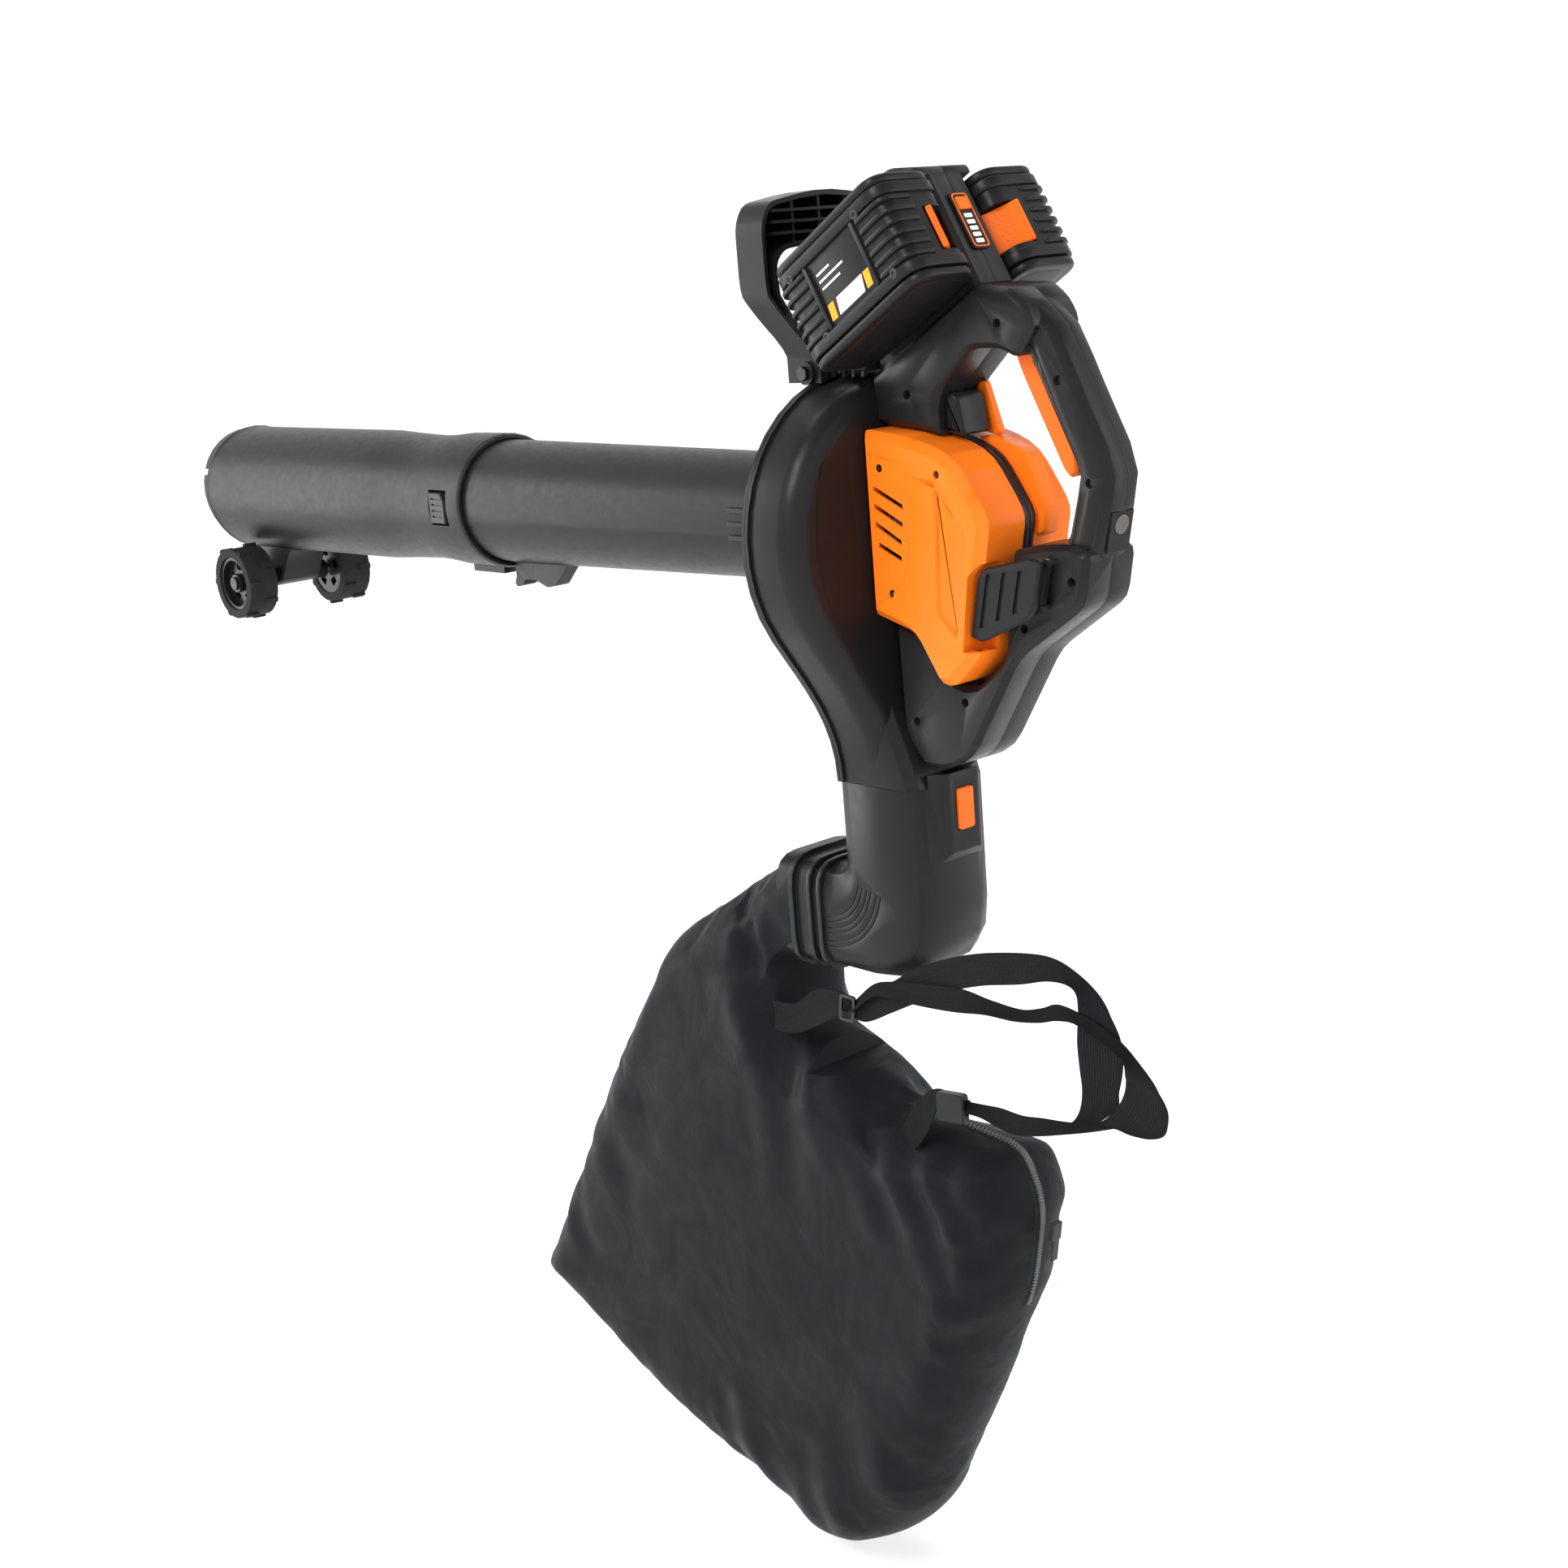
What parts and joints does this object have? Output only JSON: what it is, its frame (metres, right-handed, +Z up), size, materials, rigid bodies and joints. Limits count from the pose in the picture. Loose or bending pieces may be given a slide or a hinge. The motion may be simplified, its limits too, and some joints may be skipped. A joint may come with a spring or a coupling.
{
  "type": "leaf blower vacuum mulcher",
  "caption": "Handheld battery leaf vacuum and mulcher: wheeled suction tube, scroll fan housing, rear trigger grip, front handle, tilted battery packs, discharge elbow and collecting bag.",
  "frame": {"origin": "middle of the rear grip, where the user's trigger hand holds the machine", "axes": "+Z up, -X along the suction tube towards its mouth, -Y to the user's left"},
  "size_m": [1.1728, 0.2137, 1.0917],
  "materials": {
    "housing_black": "satin moulded, fine grain",
    "tube_black": "satin moulded",
    "orange_plastic": "satin gloss",
    "tyre": "matt",
    "steel": "brushed",
    "motor_steel": "dull",
    "winding": "enamelled wire and lamination",
    "fan_plastic": "moulded",
    "bag_cloth": "coated nylon weave",
    "webbing": "ribbed webbing"
  },
  "bodies": {
    "body": {"front_fan_housing": "housing_black", "rear_fan_housing": "housing_black", "front_bearing": "steel", "rear_bearing": "steel", "motor_case": "motor_steel", "left_housing": "housing_black", "right_housing": "housing_black", "housing_screw_1": "steel", "housing_screw_2": "steel", "housing_screw_3": "steel", "housing_screw_4": "steel", "housing_screw_5": "steel", "housing_screw_6": "steel", "housing_screw_7": "steel", "housing_screw_8": "steel", "left_cover": "orange_plastic", "right_cover": "orange_plastic", "trigger_pin": "steel", "trigger_spring": "steel", "power_switch": "housing_black", "eco_panel": "housing_black", "paddle_pin": "steel", "left_battery_dock": "housing_black", "right_battery_dock": "housing_black", "charge_panel": "housing_black", "handle_bracket": "housing_black", "front_handle": "housing_black", "left_handle_bolt": "steel", "right_handle_bolt": "steel"},
    "suction_tube": {"nozzle_tube": "tube_black", "upper_tube": "tube_black", "axle_bracket": "tube_black", "wheel_axle": "steel"},
    "tube_latch_body": {"tube_latch_button": "tube_black"},
    "left_wheel_body": {"left_wheel": "tube_black", "left_tyre": "tyre", "left_hub_cap": "steel"},
    "right_wheel_body": {"right_wheel": "tube_black", "right_tyre": "tyre", "right_hub_cap": "steel"},
    "fan_rotor": {"impeller": "fan_plastic", "motor_shaft": "steel", "motor_rotor": "winding"},
    "trigger_body": {"trigger": "orange_plastic"},
    "eco_button_body": {"eco_button": "housing_black"},
    "side_paddle_body": {"side_paddle": "housing_black"},
    "left_pack": {"left_battery": "housing_black"},
    "left_pack_latch": {"left_battery_latch": "orange_plastic"},
    "right_pack": {"right_battery": "housing_black"},
    "right_pack_latch": {"right_battery_latch": "orange_plastic"},
    "charge_button_body": {"charge_button": "orange_plastic"},
    "elbow_body": {"elbow": "housing_black"},
    "elbow_latch_body": {"elbow_latch": "orange_plastic"},
    "bag_body": {"bag_frame": "housing_black", "left_bag_panel": "bag_cloth", "right_bag_panel": "bag_cloth", "strap": "webbing", "strap_buckle": "housing_black", "strap_ring": "steel"},
    "zip_slider_body": {"zip_slider": "steel"}
  },
  "joints": [
    {"name": "tube_pull_off", "type": "slide", "parent": "body", "child": "suction_tube", "axis": [-1, 0, 0], "range_m": [0, 0.05]},
    {"name": "tube_latch_press", "type": "slide", "parent": "suction_tube", "child": "tube_latch_body", "axis": [0, 1, 0], "range_m": [0, 0.003], "stiffness_N_per_m": 400, "springref_m": -0.001},
    {"name": "left_wheel_roll", "type": "hinge", "parent": "suction_tube", "child": "left_wheel_body", "pos_m": [-1.03, -0.052, -0.1652], "axis": [0, 1, 0], "continuous": true},
    {"name": "right_wheel_roll", "type": "hinge", "parent": "suction_tube", "child": "right_wheel_body", "pos_m": [-1.03, 0.052, -0.1652], "axis": [0, 1, 0], "continuous": true},
    {"name": "fan_spin", "type": "hinge", "parent": "body", "child": "fan_rotor", "pos_m": [-0.196, 0, -0.08], "axis": [1, 0, 0], "continuous": true},
    {"name": "trigger_pull", "type": "hinge", "parent": "body", "child": "trigger_body", "pos_m": [-0.04, 0, 0.041], "axis": [0, -1, 0], "range_deg": [0, 7], "stiffness_Nm_per_rad": 1.5, "springref_deg": -5.73, "deforming": ["trigger_spring"]},
    {"name": "eco_button_press", "type": "slide", "parent": "body", "child": "eco_button_body", "axis": [-0.9744, 0, 0.225], "range_m": [0, 0.0008], "stiffness_N_per_m": 400, "springref_m": -0.001},
    {"name": "side_paddle_press", "type": "hinge", "parent": "body", "child": "side_paddle_body", "pos_m": [-0.01364, -0.0305, -0.1089], "axis": [-0.2351, 0, -0.972], "range_deg": [0, 4], "stiffness_Nm_per_rad": 1.2, "springref_deg": -4.58},
    {"name": "left_pack_slide", "type": "slide", "parent": "body", "child": "left_pack", "axis": [0.866, 0, 0.5], "range_m": [0, 0.07]},
    {"name": "left_pack_latch_press", "type": "slide", "parent": "left_pack", "child": "left_pack_latch", "axis": [-0.866, 0, -0.5], "range_m": [0, 0.0025], "stiffness_N_per_m": 400, "springref_m": -0.001},
    {"name": "right_pack_slide", "type": "slide", "parent": "body", "child": "right_pack", "axis": [0.866, 0, 0.5], "range_m": [0, 0.07]},
    {"name": "right_pack_latch_press", "type": "slide", "parent": "right_pack", "child": "right_pack_latch", "axis": [-0.866, 0, -0.5], "range_m": [0, 0.0025], "stiffness_N_per_m": 400, "springref_m": -0.001},
    {"name": "charge_button_press", "type": "slide", "parent": "body", "child": "charge_button_body", "axis": [-0.866, 0, -0.5], "range_m": [0, 0.0008], "stiffness_N_per_m": 400, "springref_m": -0.001},
    {"name": "elbow_pull_off", "type": "slide", "parent": "body", "child": "elbow_body", "axis": [0, 0, -1], "range_m": [0, 0.04]},
    {"name": "elbow_latch_press", "type": "slide", "parent": "elbow_body", "child": "elbow_latch_body", "axis": [-1, 0, 0], "range_m": [0, 0.0025], "stiffness_N_per_m": 400, "springref_m": -0.001},
    {"name": "bag_pull_off", "type": "slide", "parent": "elbow_body", "child": "bag_body", "axis": [-1, 0, 0], "range_m": [0, 0.04]},
    {"name": "zip_slide", "type": "slide", "parent": "bag_body", "child": "zip_slider_body", "axis": [-0.1771, 0, -0.9842], "range_m": [0, 0.05]}
  ]
}
